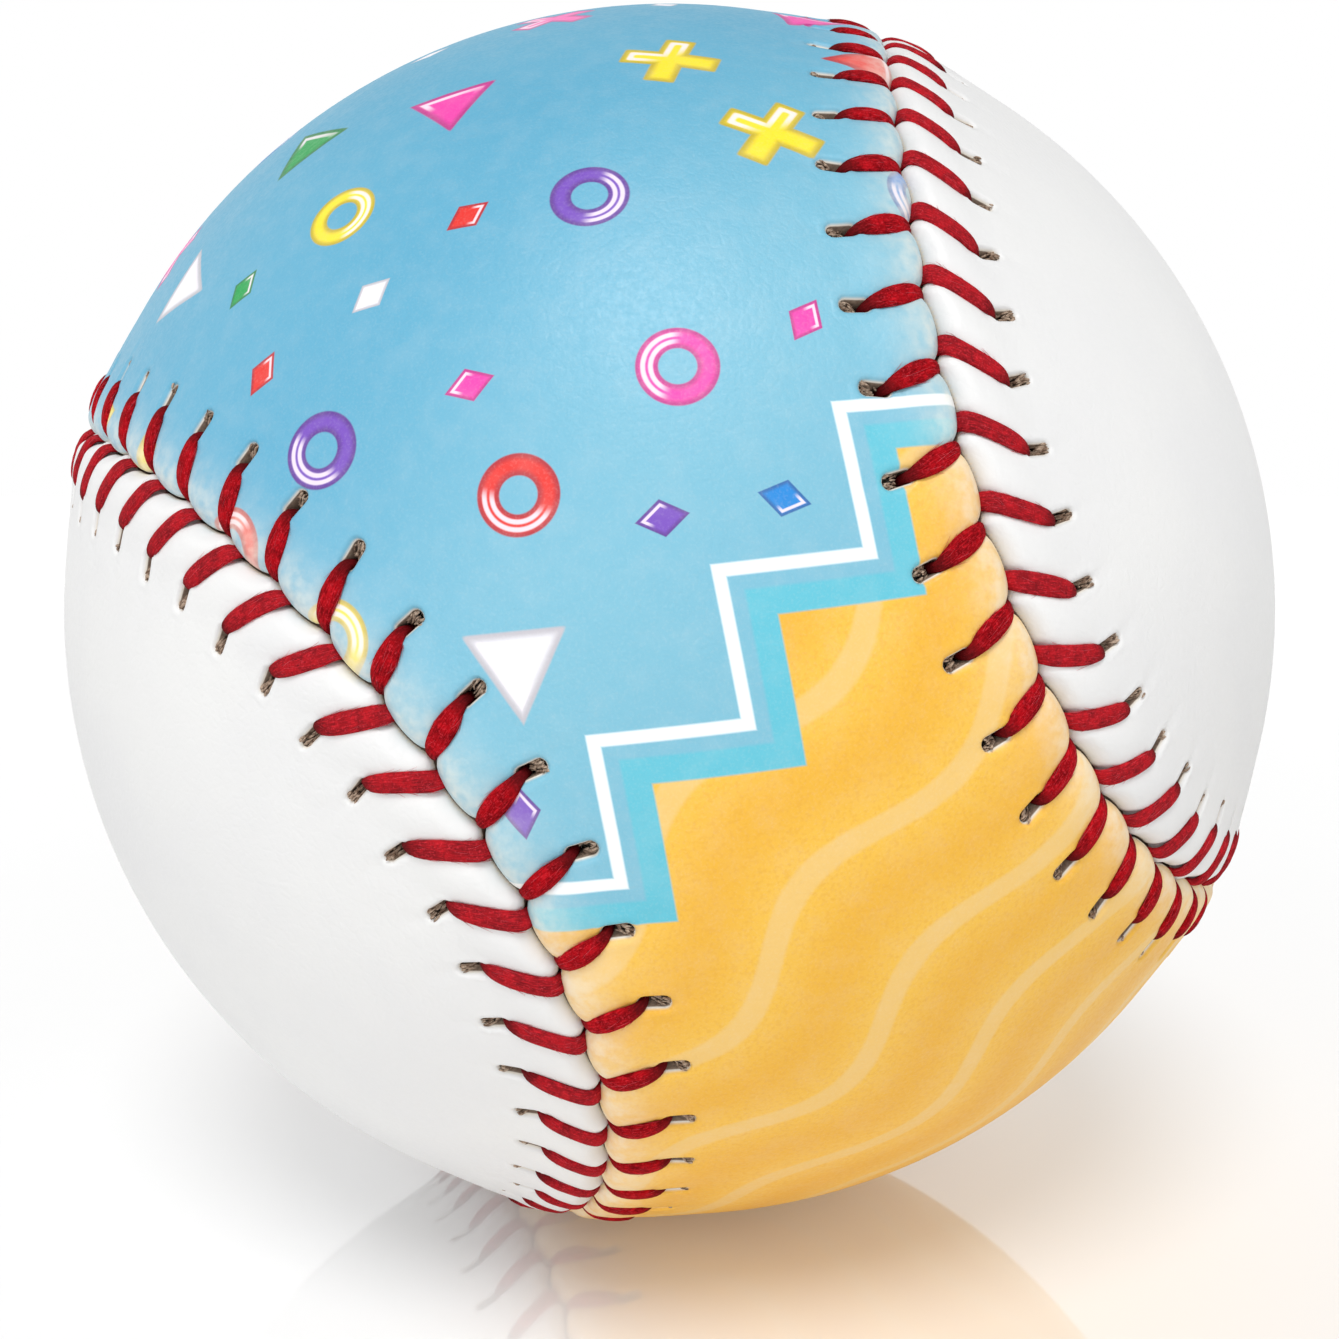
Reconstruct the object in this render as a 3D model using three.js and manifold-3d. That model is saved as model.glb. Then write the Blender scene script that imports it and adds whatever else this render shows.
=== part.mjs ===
// A training baseball. A cork and rubber pill is wound with yarn, and two leather panels cover the
// winding, laced together by two red threads. Sizes are in millimetres. The origin is the ball's
// centre, +Z is up, and the waist of the printed panel faces the -Y side.

import * as THREE from "three";
import { ConvexHull } from "three/addons/math/ConvexHull.js";
import { mergeVertices } from "three/addons/utils/BufferGeometryUtils.js";
import Module from "manifold-3d";

// Ball and cover
const BALL_DIAMETER = 73.5;
const COVER_THICKNESS = 1.3; // leather away from the seam
const SEAM_THICKNESS = 1.1; // leather by the seam, thinned for the thread beneath it
const EDGE_THICKNESS = 0.65; // leather at its rolled edge
const EDGE_ROLL_WIDTH = 1.5; // how far from the seam line the edge begins to roll down
const WAIST_WIDTH = 26; // straight across a panel's waist, from seam to seam

// How the cover is turned on the ball, in degrees
const SEAM_ROLL = -26.7; // about -Y, which leans the printed panel's long way from upright
const SEAM_TILT = 8.6; // about +X, which turns the printed waist down
const SEAM_YAW = 8.8; // about +Z, which turns the printed waist to the right

// Lacing
const STITCH_PITCH = 3.79; // from hole to hole, measured along the seam
const HOLE_DISTANCE = 3.8; // from the seam line to the middle of a hole
const HOLE_LENGTH = 1.45; // away from the seam, a slot that the thread has drawn out
const STRAND_WIDTH = 1.2; // the thread where it lies flat and open on the leather
const STRAND_CROWN_WIDTH = 0.9; // the same at its top
const STRAND_THICKNESS = 0.5;
const DRAWN_WIDTH = 0.5; // the thread where it is drawn tight in a hole or in the seam
const DRAWN_THICKNESS = 0.4;
const THREAD_CLEARANCE = 0.12; // from the thread to what it runs through or over
const FOOT_LEAD = 0.95; // along the seam, from a printed panel's hole to its strand's foot
const FOOT_GAP = 0.6; // along the seam, between the feet of a pair of strands
const TAIL_LENGTH = 1.3; // of the thread's ends, under the leather
const TAIL_SLANT = 0.65; // how far along the seam the last end leans, clear of the first

// Windings, from the outside in, and the pill
const FINISHING_THICKNESS = 0.5;
const THIRD_THICKNESS = 1.2;
const SECOND_THICKNESS = 1.5;
const PILL_DIAMETER = 34.9;
const JACKET_THICKNESS = 2;
const CORK_DIAMETER = 20.6;
const WASHER_THICKNESS = 1.2;
const LAYER_GAP = 0.3; // between neighbouring layers
const NEEDLE_HOLE_DIAMETER = 2; // where a yarn's end is pulled under its own winding
const NEEDLE_HOLE_STEP = 55; // degrees between the needle holes of neighbouring windings

// How finely round shapes are divided
const FACET_STEPS = 7; // along an icosahedron's edge, on the cover
const FIELD_MARGIN = 0.76; // of a facet, left between the holes and the leather's open field
const WINDING_STEPS = 4; // the same as the cover's, on a winding
const PILL_SIDES = 16;
const PILL_STEPS = 4; // from a half shell's pole to its rim
const HOLE_SIDES = 6;
const SEAM_DIVISIONS = 2400;
const SEARCH_STEPS = 4; // for each stitch, in looking for the nearest place on the seam

// Radii from the ball's centre
const ballRadius = BALL_DIAMETER / 2;
const coverInner = ballRadius - COVER_THICKNESS;
const woundRadius = coverInner - LAYER_GAP;
const seamInner = woundRadius + DRAWN_THICKNESS + 2 * THREAD_CLEARANCE;
const seamOuter = seamInner + SEAM_THICKNESS;
const edgeOuter = seamInner + EDGE_THICKNESS;
const hiddenThread = (woundRadius + seamInner) / 2;

// Widths measured along the leather
const seamGap = DRAWN_THICKNESS + 2 * THREAD_CLEARANCE;
const holeWidth = DRAWN_WIDTH + 2 * THREAD_CLEARANCE;
const holeNear = HOLE_DISTANCE - HOLE_LENGTH / 2;
const holeFar = HOLE_DISTANCE + HOLE_LENGTH / 2;
const threadInHole = holeNear + THREAD_CLEARANCE + DRAWN_THICKNESS / 2;
const footSpacing = DRAWN_WIDTH + FOOT_GAP;

const PRINTED = 1;
const PLAIN = -1;

const materials = {
  printedLeather: material(0x91d2e8, 0.42),
  plainLeather: material(0xeef0f0, 0.45),
  redThread: material(0xa01620, 0.75),
  finishingYarn: material(0xe9e4d6, 0.95),
  greyYarn: material(0x8d8c8a, 0.95),
  whiteYarn: material(0xe6e2da, 0.95),
  redRubber: material(0x8c2a22, 0.7),
  blackRubber: material(0x1f1f20, 0.75),
  cork: material(0xb98a58, 0.9),
};

function material(color, roughness) {
  return new THREE.MeshStandardMaterial({ color, roughness, metalness: 0 });
}

function named(name, geometry, surface) {
  const mesh = new THREE.Mesh(geometry, surface);
  mesh.name = name;
  return mesh;
}

// The line where the panels meet. Before it is turned, the printed panel's waist faces -Y and
// the plain panel's waist faces +Y.
class Seam extends THREE.Curve {
  getPoint(turn, target = new THREE.Vector3()) {
    const waist = WAIST_WIDTH / BALL_DIAMETER;
    const major = (1 + waist) / 2;
    const minor = (1 - waist) / 2;
    const angle = 2 * Math.PI * turn;
    return target
      .set(
        major * Math.sin(angle) + minor * Math.sin(3 * angle),
        2 * Math.sqrt(major * minor) * Math.cos(2 * angle),
        major * Math.cos(angle) - minor * Math.cos(3 * angle),
      )
      .multiplyScalar(ballRadius);
  }
}

const seam = new Seam();
seam.arcLengthDivisions = SEAM_DIVISIONS;
const seamLength = seam.getLength();
const stitches = 2 * Math.round(seamLength / STITCH_PITCH / 2);
const pitch = seamLength / stitches;

// The way out, along and across at a place that is given by how far it lies along the seam and
// across it, where the printed panel is on the positive side.
function axesAt(along, across) {
  const u = THREE.MathUtils.euclideanModulo(along / seamLength, 1);
  const middle = seam.getPointAt(u).normalize();
  const forward = seam.getTangentAt(u);
  const sideways = new THREE.Vector3().crossVectors(forward, middle).normalize();
  const angle = across / ballRadius;
  const out = middle
    .clone()
    .multiplyScalar(Math.cos(angle))
    .addScaledVector(sideways, Math.sin(angle));
  sideways.multiplyScalar(Math.cos(angle)).addScaledVector(middle, -Math.sin(angle));
  return { out, forward, sideways };
}

const holeAlong = (k) => (k + 0.5) * pitch;

function footAlong(k, side) {
  return holeAlong(k) - FOOT_LEAD - (side === PLAIN ? footSpacing : 0);
}

// The direction of a hole's corner, with forward and far as -1 or 1.
function holeCorner(k, side, forward, far) {
  const axes = axesAt(holeAlong(k), side * (far > 0 ? holeFar : holeNear));
  const shift = (forward * holeWidth) / 2 / ballRadius;
  return axes.out.addScaledVector(axes.forward, shift).normalize();
}

// Corners of the cover's facets. Each has a direction, its panel, the hole that it bounds if any,
// and the radii of the leather's outside and inside.
function coverCorners() {
  const corners = [];
  const add = (direction, side, hole, outer, inner) =>
    corners.push({ direction, side, hole, outer, inner });
  for (const side of [PRINTED, PLAIN]) {
    for (let k = 0; k < stitches; k++) {
      const between = (footAlong(k, PRINTED) + footAlong(k, PLAIN)) / 2;
      const edge = axesAt(between, (side * seamGap) / 2).out;
      const roll = axesAt(between, side * EDGE_ROLL_WIDTH).out;
      add(edge, side, null, edgeOuter, seamInner);
      add(roll, side, null, seamOuter, seamInner);
      for (const far of [-1, 1])
        for (const forward of [-1, 1])
          add(holeCorner(k, side, forward, far), side, k, seamOuter, seamInner);
    }
  }
  const fieldStart = holeFar + (FIELD_MARGIN * ballRadius) / FACET_STEPS;
  for (const direction of fieldDirections()) {
    const { side, distance } = nearestSeam(direction);
    if (distance > fieldStart) add(direction, side, null, ballRadius, coverInner);
  }
  return corners;
}

function fieldDirections() {
  const points = roundBall(1, FACET_STEPS).getAttribute("position");
  return Array.from({ length: points.count }, (_, i) =>
    new THREE.Vector3().fromBufferAttribute(points, i).normalize(),
  );
}

// Which panel a direction lies on, and how far from the seam line.
function nearestSeam(direction) {
  const step = pitch / SEARCH_STEPS;
  let best = { angle: Infinity };
  for (let along = 0; along < seamLength; along += step) {
    const axes = axesAt(along, 0);
    const angle = axes.out.angleTo(direction);
    if (angle < best.angle) best = { angle, axes };
  }
  const side = best.axes.sideways.dot(direction) > 0 ? PRINTED : PLAIN;
  return { side, distance: best.angle * ballRadius };
}

// The cover's facets, each as three corners in anticlockwise order seen from outside. The corners
// all lie on one sphere, so their convex hull joins each to its nearest neighbours.
function coverFacets(corners) {
  const cornerOf = new Map(corners.map((corner) => [corner.direction, corner]));
  const hull = new ConvexHull().setFromPoints(corners.map((c) => c.direction));
  return hull.faces.map((face) =>
    [0, 1, 2].map((i) => cornerOf.get(face.getEdge(i).head().point)),
  );
}

function isLeather([a, b, c], side) {
  const open = a.hole !== null && a.hole === b.hole && b.hole === c.hole;
  return a.side === side && b.side === side && c.side === side && !open;
}

// A panel's facets outside and inside, with walls at its edge and in its holes.
function panelGeometry(facets, side) {
  const leather = facets.filter((facet) => isLeather(facet, side));
  const positions = [];
  const places = new Map();
  const place = (corner) => {
    if (!places.has(corner)) {
      const outer = positions.length / 3;
      positions.push(...corner.direction.clone().multiplyScalar(corner.outer));
      positions.push(...corner.direction.clone().multiplyScalar(corner.inner));
      places.set(corner, { outer, inner: outer + 1 });
    }
    return places.get(corner);
  };
  const index = [];
  const open = new Map();
  for (const facet of leather) {
    const [a, b, c] = facet.map(place);
    index.push(a.outer, b.outer, c.outer, c.inner, b.inner, a.inner);
    for (const [from, to] of [[a, b], [b, c], [c, a]]) {
      const key = `${from.outer} ${to.outer}`;
      if (!open.delete(`${to.outer} ${from.outer}`)) open.set(key, [from, to]);
    }
  }
  for (const [from, to] of open.values())
    index.push(to.outer, from.outer, from.inner, to.outer, from.inner, to.inner);
  return indexed(positions, index);
}

function indexed(positions, index) {
  const geometry = new THREE.BufferGeometry();
  geometry.setAttribute("position", new THREE.Float32BufferAttribute(positions, 3));
  geometry.setIndex(index);
  geometry.computeVertexNormals();
  return geometry;
}

// The stations of one stitch: up through the hole, over the leather to the seam and down it.
function stitchStations(k, side) {
  const hole = holeAlong(k);
  const foot = footAlong(k, side);
  const share = (threadInHole - EDGE_ROLL_WIDTH) / threadInHole;
  const drawn = { wide: DRAWN_WIDTH, crown: DRAWN_WIDTH, thick: DRAWN_THICKNESS };
  const open = { wide: STRAND_WIDTH, crown: STRAND_CROWN_WIDTH, thick: STRAND_THICKNESS };
  const above = (leather, thick) => leather + THREAD_CLEARANCE + thick / 2;
  return [
    { ...drawn, along: hole, across: threadInHole, radius: hiddenThread },
    { ...drawn, along: hole, across: threadInHole, radius: above(seamOuter, DRAWN_THICKNESS) },
    {
      ...open,
      along: THREE.MathUtils.lerp(hole, foot, share),
      across: EDGE_ROLL_WIDTH,
      radius: above(seamOuter, STRAND_THICKNESS),
    },
    { ...drawn, along: foot, across: 0, radius: above(edgeOuter, DRAWN_THICKNESS) },
    { ...drawn, along: foot, across: 0, radius: hiddenThread },
  ].map((station) => ({ ...station, side, across: side * station.across }));
}

// One whole thread. It takes every second hole of each panel in turn, passes under the other
// panel from the seam to the next hole, and has both ends under the leather.
function threadStations(firstSide) {
  const stations = [];
  for (let i = 0; i < stitches; i++)
    stations.push(...stitchStations(stitches - 1 - i, i % 2 ? -firstSide : firstSide));
  const first = stations[0];
  const last = stations[stations.length - 1];
  const inward = Math.sign(first.across) * TAIL_LENGTH;
  stations.unshift({ ...first, across: first.across - inward });
  stations.push({ ...last, across: last.across + inward, along: last.along - TAIL_SLANT });
  return stations;
}

// The thread's direction between two stations, in the plane across the seam.
function wayBetween(from, to) {
  return new THREE.Vector2(to.across - from.across, to.radius - from.radius).normalize();
}

// The four corners of the thread's section at a station, mitred where the thread turns.
function threadSection(before, here, after) {
  const arriving = wayBetween(before, here);
  const leaving = wayBetween(here, after);
  const way = arriving.clone().add(leaving).normalize();
  const half = here.thick / 2 / way.dot(leaving);
  const { out, forward, sideways } = axesAt(here.along, here.across);
  const normal = sideways.clone().multiplyScalar(-way.y).addScaledVector(out, way.x);
  const middle = out.clone().multiplyScalar(here.radius);
  const corner = (width, height) =>
    middle
      .clone()
      .addScaledVector(forward, width / 2)
      .addScaledVector(normal, height);
  const [upper, lower] = here.side === PLAIN ? [here.crown, here.wide] : [here.wide, here.crown];
  return [
    corner(upper, half),
    corner(-upper, half),
    corner(-lower, -half),
    corner(lower, -half),
  ];
}

function threadGeometry(firstSide) {
  const stations = threadStations(firstSide);
  const last = stations.length - 1;
  const sections = stations.map((here, i) =>
    threadSection(
      i > 0 ? stations[i - 1] : { ...here, across: 2 * here.across - stations[1].across },
      here,
      i < last ? stations[i + 1] : { ...here, across: 2 * here.across - stations[last - 1].across },
    ),
  );
  const positions = sections.flat().flatMap((corner) => [...corner]);
  const sides = sections[0].length;
  const index = [0, 2, 1, 0, 3, 2];
  for (let i = 0; i < last; i++)
    for (let j = 0; j < sides; j++) {
      const a = i * sides + j;
      const b = i * sides + ((j + 1) % sides);
      index.push(a, b, a + sides, b, b + sides, a + sides);
    }
  const end = last * sides;
  index.push(end, end + 1, end + 2, end, end + 2, end + 3);
  return indexed(positions, index);
}

// A closed ball of flat facets with shared corners.
function roundBall(radius, steps) {
  const ball = new THREE.IcosahedronGeometry(radius, steps - 1);
  ball.deleteAttribute("normal");
  ball.deleteAttribute("uv");
  return mergeVertices(ball);
}

const wasm = await Module();
wasm.setup();

function solid(geometry) {
  const vertProperties = geometry.getAttribute("position").array;
  const triVerts = new Uint32Array(geometry.getIndex().array);
  return new wasm.Manifold(new wasm.Mesh({ numProp: 3, vertProperties, triVerts }));
}

// A layer of yarn between two radii. The needle hole through it is where its end was pulled under.
function windingGeometry(outer, inner, holeTurn) {
  const depth = outer - inner + 2 * NEEDLE_HOLE_DIAMETER;
  const radius = NEEDLE_HOLE_DIAMETER / 2;
  const hole = new THREE.CylinderGeometry(radius, radius, depth, HOLE_SIDES);
  hole.deleteAttribute("normal");
  hole.deleteAttribute("uv");
  hole.rotateZ(-Math.PI / 2);
  hole.translate((outer + inner) / 2, 0, 0);
  hole.rotateZ(THREE.MathUtils.degToRad(holeTurn));
  const wound = solid(roundBall(outer, WINDING_STEPS))
    .subtract(solid(roundBall(inner, WINDING_STEPS)))
    .subtract(solid(mergeVertices(hole)))
    .getMesh();
  return indexed(wound.vertProperties, [...wound.triVerts]);
}

// The upper half of a hollow ball, from its pole down to a flat rim.
function halfShellGeometry(outer, inner, rim) {
  const profile = [];
  const arc = (radius, from, to) => {
    for (let i = 0; i <= PILL_STEPS; i++) {
      const angle = THREE.MathUtils.lerp(from, to, i / PILL_STEPS);
      profile.push(new THREE.Vector2(radius * Math.cos(angle), radius * Math.sin(angle)));
    }
  };
  const up = Math.PI / 2;
  arc(inner, up, Math.asin(rim / inner));
  arc(outer, Math.asin(rim / outer), up);
  profile[0].x = 0;
  profile[profile.length - 1].x = 0;
  return new THREE.LatheGeometry(profile, PILL_SIDES).rotateX(Math.PI / 2);
}

function washerGeometry(outer, inner) {
  const half = WASHER_THICKNESS / 2;
  const profile = [
    [inner, -half],
    [outer, -half],
    [outer, half],
    [inner, half],
    [inner, -half],
  ].map(([x, y]) => new THREE.Vector2(x, y));
  return new THREE.LatheGeometry(profile, PILL_SIDES).rotateX(Math.PI / 2);
}

// The pill: a cork centre in two black rubber cups with a red washer between their rims, and a
// jacket of red rubber in two halves.
function pill() {
  const group = new THREE.Group();
  const jacketOuter = PILL_DIAMETER / 2;
  const jacketInner = jacketOuter - JACKET_THICKNESS;
  const cupOuter = jacketInner - LAYER_GAP;
  const cupInner = CORK_DIAMETER / 2 + LAYER_GAP;
  const cupRim = WASHER_THICKNESS / 2 + LAYER_GAP;
  const cork = new THREE.SphereGeometry(CORK_DIAMETER / 2, PILL_SIDES, 2 * PILL_STEPS);
  cork.rotateX(Math.PI / 2);
  const washer = washerGeometry(cupOuter, cupInner);
  const cup = halfShellGeometry(cupOuter, cupInner, cupRim);
  const jacket = halfShellGeometry(jacketOuter, jacketInner, LAYER_GAP / 2);
  const upperCup = named("rubber_cup_upper", cup, materials.blackRubber);
  const lowerCup = named("rubber_cup_lower", cup, materials.blackRubber);
  const upperJacket = named("rubber_jacket_upper", jacket, materials.redRubber);
  const lowerJacket = named("rubber_jacket_lower", jacket, materials.redRubber);
  lowerCup.rotation.x = Math.PI;
  lowerJacket.rotation.x = Math.PI;
  group.add(
    named("cork_centre", cork, materials.cork),
    named("cushion_washer", washer, materials.redRubber),
    upperCup,
    lowerCup,
    upperJacket,
    lowerJacket,
  );
  return group;
}

// The yarn layers. The first fills the room that the others leave over the pill.
function windings() {
  const group = new THREE.Group();
  const layers = [
    ["finishing_winding", FINISHING_THICKNESS, materials.finishingYarn],
    ["third_winding", THIRD_THICKNESS, materials.greyYarn],
    ["second_winding", SECOND_THICKNESS, materials.whiteYarn],
    ["first_winding", null, materials.greyYarn],
  ];
  const coreRadius = PILL_DIAMETER / 2 + 2 * LAYER_GAP; // room for the first winding's flat facets
  let outer = woundRadius;
  layers.forEach(([name, thickness, yarn], i) => {
    const inner = thickness === null ? coreRadius : outer - thickness;
    const geometry = windingGeometry(outer, inner, i * NEEDLE_HOLE_STEP);
    group.add(named(name, geometry, yarn));
    outer = inner - LAYER_GAP;
  });
  return group;
}

// The two panels and the two threads that lace them.
function cover() {
  const facets = coverFacets(coverCorners());
  const group = new THREE.Group();
  group.rotation.set(
    THREE.MathUtils.degToRad(SEAM_TILT),
    THREE.MathUtils.degToRad(SEAM_ROLL),
    THREE.MathUtils.degToRad(SEAM_YAW),
    "ZXY",
  );
  group.add(
    named("cover_panel_printed", panelGeometry(facets, PRINTED), materials.printedLeather),
    named("cover_panel_plain", panelGeometry(facets, PLAIN), materials.plainLeather),
    named("seam_thread_a", threadGeometry(PRINTED), materials.redThread),
    named("seam_thread_b", threadGeometry(PLAIN), materials.redThread),
  );
  return group;
}

const baseball = new THREE.Group();
baseball.add(pill(), windings(), cover());

export default baseball;
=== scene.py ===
# A training baseball on a white studio floor: a printed and a plain leather panel, laced together
# with red thread over a wound core. Object sizes are in millimetres until a mesh is made.

import math

import bpy
import numpy as np
from mathutils import Matrix, Vector
from mathutils.geometry import delaunay_2d_cdt


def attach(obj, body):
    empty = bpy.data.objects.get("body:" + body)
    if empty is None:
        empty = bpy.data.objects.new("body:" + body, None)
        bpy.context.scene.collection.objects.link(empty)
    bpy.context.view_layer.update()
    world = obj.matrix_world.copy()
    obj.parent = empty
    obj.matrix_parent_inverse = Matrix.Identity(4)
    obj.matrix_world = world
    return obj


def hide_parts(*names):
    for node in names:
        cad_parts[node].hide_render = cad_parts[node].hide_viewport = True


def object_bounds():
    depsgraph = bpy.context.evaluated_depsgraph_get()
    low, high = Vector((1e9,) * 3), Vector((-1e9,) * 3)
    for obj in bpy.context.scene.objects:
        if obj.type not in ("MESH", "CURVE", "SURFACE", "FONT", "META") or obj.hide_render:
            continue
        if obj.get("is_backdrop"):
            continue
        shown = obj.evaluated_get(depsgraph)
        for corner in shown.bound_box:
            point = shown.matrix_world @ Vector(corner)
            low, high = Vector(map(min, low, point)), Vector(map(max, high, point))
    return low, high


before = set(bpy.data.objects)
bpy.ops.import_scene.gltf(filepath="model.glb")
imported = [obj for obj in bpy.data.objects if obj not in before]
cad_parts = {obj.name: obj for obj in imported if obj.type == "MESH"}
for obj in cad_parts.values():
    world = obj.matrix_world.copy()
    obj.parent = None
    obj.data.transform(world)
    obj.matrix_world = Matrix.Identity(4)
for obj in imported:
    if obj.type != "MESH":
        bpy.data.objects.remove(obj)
cad_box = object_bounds()
scene = bpy.context.scene

MM = 0.001

# The ball and its seam. A place across is a distance from the seam line.
BALL_DIAMETER = 73.5
WAIST_WIDTH = 26  # of a panel, from seam to seam
SEAM_ROLL, SEAM_TILT, SEAM_YAW = -26.7, 8.6, 8.8  # degrees
STITCH_PITCH = 3.79  # about, for a whole even number of stitches
PRINTED, PLAIN = 1, -1
FOOT_LEAD = {PRINTED: 0.95, PLAIN: 2.05}  # along the seam, from a hole to its strand's foot
SEAM_SAMPLES = 24000

# Leather. A pair of places is a change's start and end.
COVER_INSIDE = 35.47  # radius of the leather's inner face in its open field
SEAM_INSIDE = 35.8  # the same by the seam, over the hidden thread
INSIDE_START = 5.2  # across, where that radius ends
SEAM_RISE = 0.12  # of the laced band over the open field
BAND_START, BAND_END = 4, 7.4  # across, where that runs out
ROLL_WIDTH, ROLL_DEPTH = 0.75, 0.66  # of the rolled edge
PUFF_HEIGHT = 0.34  # of the leather drawn up between two strands
PUFF_SPREAD = 0.12  # how much the puffs differ
PUFF_START, PUFF_END = (-0.2, 1.1), 1.6  # across
PUFF_POWER = 0.7  # of a puff's outline
GROOVE_DEPTH, GROOVE_WIDTH = 0.13, 0.5  # under a strand
GROOVE_END = (-0.4, 0.2)  # from the hole's near end
CREASE_DEPTH = 0.05  # of the crease that runs out from a hole
CREASE_START = (-0.2, 0.4)  # from the hole's far end
CREASE_END = (5.2, 6.8)  # across
EDGE_GAP = 0.045  # between the seam line and a panel's edge
EDGE_REACH = 1.6  # across, as far as the mesh follows the edge
LOBE_DEPTH = 0.54  # of the printed edge's round lobes between its strands' feet
LOBE_SOFTNESS, LOBE_POWER, LOBE_MIDDLE = 0.01, 0.35, 0.62  # of a lobe's outline
NOTCH_DEPTH, NOTCH_WIDTH = 0.22, 0.4  # in a panel's edge, at its own strand's foot
WAVES, WAVE_HEIGHT, WAVE_TURNS = 7, 0.04, 3.2  # of the leather's slow unevenness
WEAR_AND_HIGHLIGHT_WIDTH = 1.9  # of the paler band along the edge: wear of the print, and a painted highlight on the rolled edge
LIP_RAWNESS = 0.3  # of the ring about a hole, where a cut edge has 1
SHARP_ANGLE = 55  # degrees, of an edge that isn't shaded round

# Holes
HOLE_MIDDLE = 3.8  # across
HOLE_LENGTH, HOLE_WIDTH = 1.45, 0.56
HOLE_TURN, HOLE_SHIFT = 13, 0.2  # the most that a hole leans, in degrees, and is out of line
TURN_REACH, SHIFT_REACH = 0.5, 0.9  # how far about a hole the mesh moves with it
HOLE_DIP, DIP_WIDTH = 0.26, 0.13  # of the leather drawn into a hole
RIM_HEIGHT, RIM_PLACE, RIM_WIDTH = 0.07, 0.26, 0.15  # of its lip
HOLE_RINGS = (0, 0.06, 0.15, 0.28)  # of the mesh rings about a hole
ARC_POINTS = 8  # round each end of a hole

# The leather's mesh
STRIP_WIDTH = 8  # beyond it lies the open field
FINEST_ROW, BAND_ROW = 0.05, 0.21  # steps of the rows at the edge and in the band
FINE_END, ROW_GROWTH = 5.4, 1.25  # across, where the steps start to grow, and how fast
ROW_POINTS = 7  # along a tile's row, at least
HOLE_MARGIN = 0.38  # from a hole to the nearest row point
INNER_START, INNER_STEP = 12, 6  # of the border points on the inner face
FIELD_STEP = 1.25  # between the open field's points
FIELD_MARGIN = 0.75  # between the strip and the field's points
FIELD_ROW = 0.866  # height of a row of even triangles
SEAM_STEP = 0.4  # between the places on the seam that this is measured from
TOLERANCE = 1e-9

# Thread
HIDDEN_RADIUS = 35.47  # of the thread's run under the leather
HIDDEN_WIDTH, HIDDEN_THICKNESS = 0.5, 0.4
STRAND_POINTS = 32  # round a strand
STEPS_BETWEEN = 2  # from row to row of a strand's route
STRAND_SPREAD, STRAND_SWAY = 0.07, 0.1  # how much strands differ in width and course
SIDE_POWER, TOP_POWER = 0.8, 0.9  # of a strand's outline, where an ellipse has 1
UNDERSIDE_LOSS = 0.3  # of a strand's thickness, where it lies on the leather
FILAMENTS = 11  # ridges round a strand
FILAMENT_DEPTH = 0.055  # as a share of the strand's size
FILAMENT_TWIST = 0.35  # radians in a millimetre
FOOT_SHADE, FOOT_SHADE_WIDTH = 0.7, (0.2, 0.9)  # of the painted shade at a printed strand's foot, and across
HOLE_SHADE_WIDTH = (2.4, 3.3)  # across, where painted shade darkens a strand toward its hole
HAIRS = 28  # loose fibres on a strand
HAIR_POINTS = (3, 6)  # the fewest, and one over the most
HAIR_FREEDOM = (0.15, 0.05)  # least freedom of its strand, at its start and beyond
FRINGE_SHARE = 0.6  # of them, that stand off a strand's sides
HAIR_LIFT = (0.1, 0.45)  # as a share of the strand's size
TOP_HAIR_LIFT = 0.3  # of those on top, where the fringe has 1
HAIR_BEND = 0.4  # radians
HAIR_RADIUS, HAIR_SPREAD = 0.008, (0.7, 1.3)
PLAIN_PALENESS = 0.1  # of the plain panel's strands, where a loose fibre has 1
FIBRES = 24  # torn leather fibres in a hole
FIBRE_POINTS, FIBRE_SIDES = 5, 4
FIBRE_START, FIBRE_LENGTH = (-0.35, 0.75), (0.15, 0.8)  # in halves of the hole's length
FIBRE_SPREAD, FIBRE_BEND = 1.05, 0.08  # off the hole's middle line, and sideways
FIBRE_DEPTH, FIBRE_RISE = (-0.6, -0.42), (0.3, 0.56)  # over the radius, and at the far end
FIBRE_RISE_PLACE, FIBRE_RADIUS = (-0.3, 0.8), (0.035, 0.08)
# A strand's route from hole to foot: across, height over the ball's radius and width on the
# printed panel, height and width on the plain panel, thickness.
STRAND_ROUTE = (
    (3.36, -0.95, 0.48, -0.95, 0.48, 0.36),
    (3.34, -0.5, 0.5, -0.5, 0.5, 0.36),
    (3.24, -0.08, 0.54, -0.08, 0.56, 0.38),
    (3.0, 0.14, 0.68, 0.14, 0.72, 0.42),
    (2.6, 0.25, 0.86, 0.25, 0.86, 0.46),
    (2.1, 0.3, 1.02, 0.3, 0.94, 0.48),
    (1.6, 0.3, 1.04, 0.3, 0.97, 0.48),
    (1.1, 0.23, 0.94, 0.28, 0.98, 0.47),
    (0.75, 0.08, 0.8, 0.24, 0.98, 0.45),
    (0.5, -0.14, 0.68, 0.18, 0.97, 0.42),
    (0.3, -0.44, 0.58, 0.08, 0.95, 0.4),
    (0.12, -0.7, 0.5, -0.14, 0.92, 0.38),
    (0.0, -0.9, 0.46, -0.6, 0.82, 0.38),
)
STRAND_START, STRAND_OPEN = STRAND_ROUTE[0][0], STRAND_ROUTE[2][0]  # in the hole, and out of it

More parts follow.
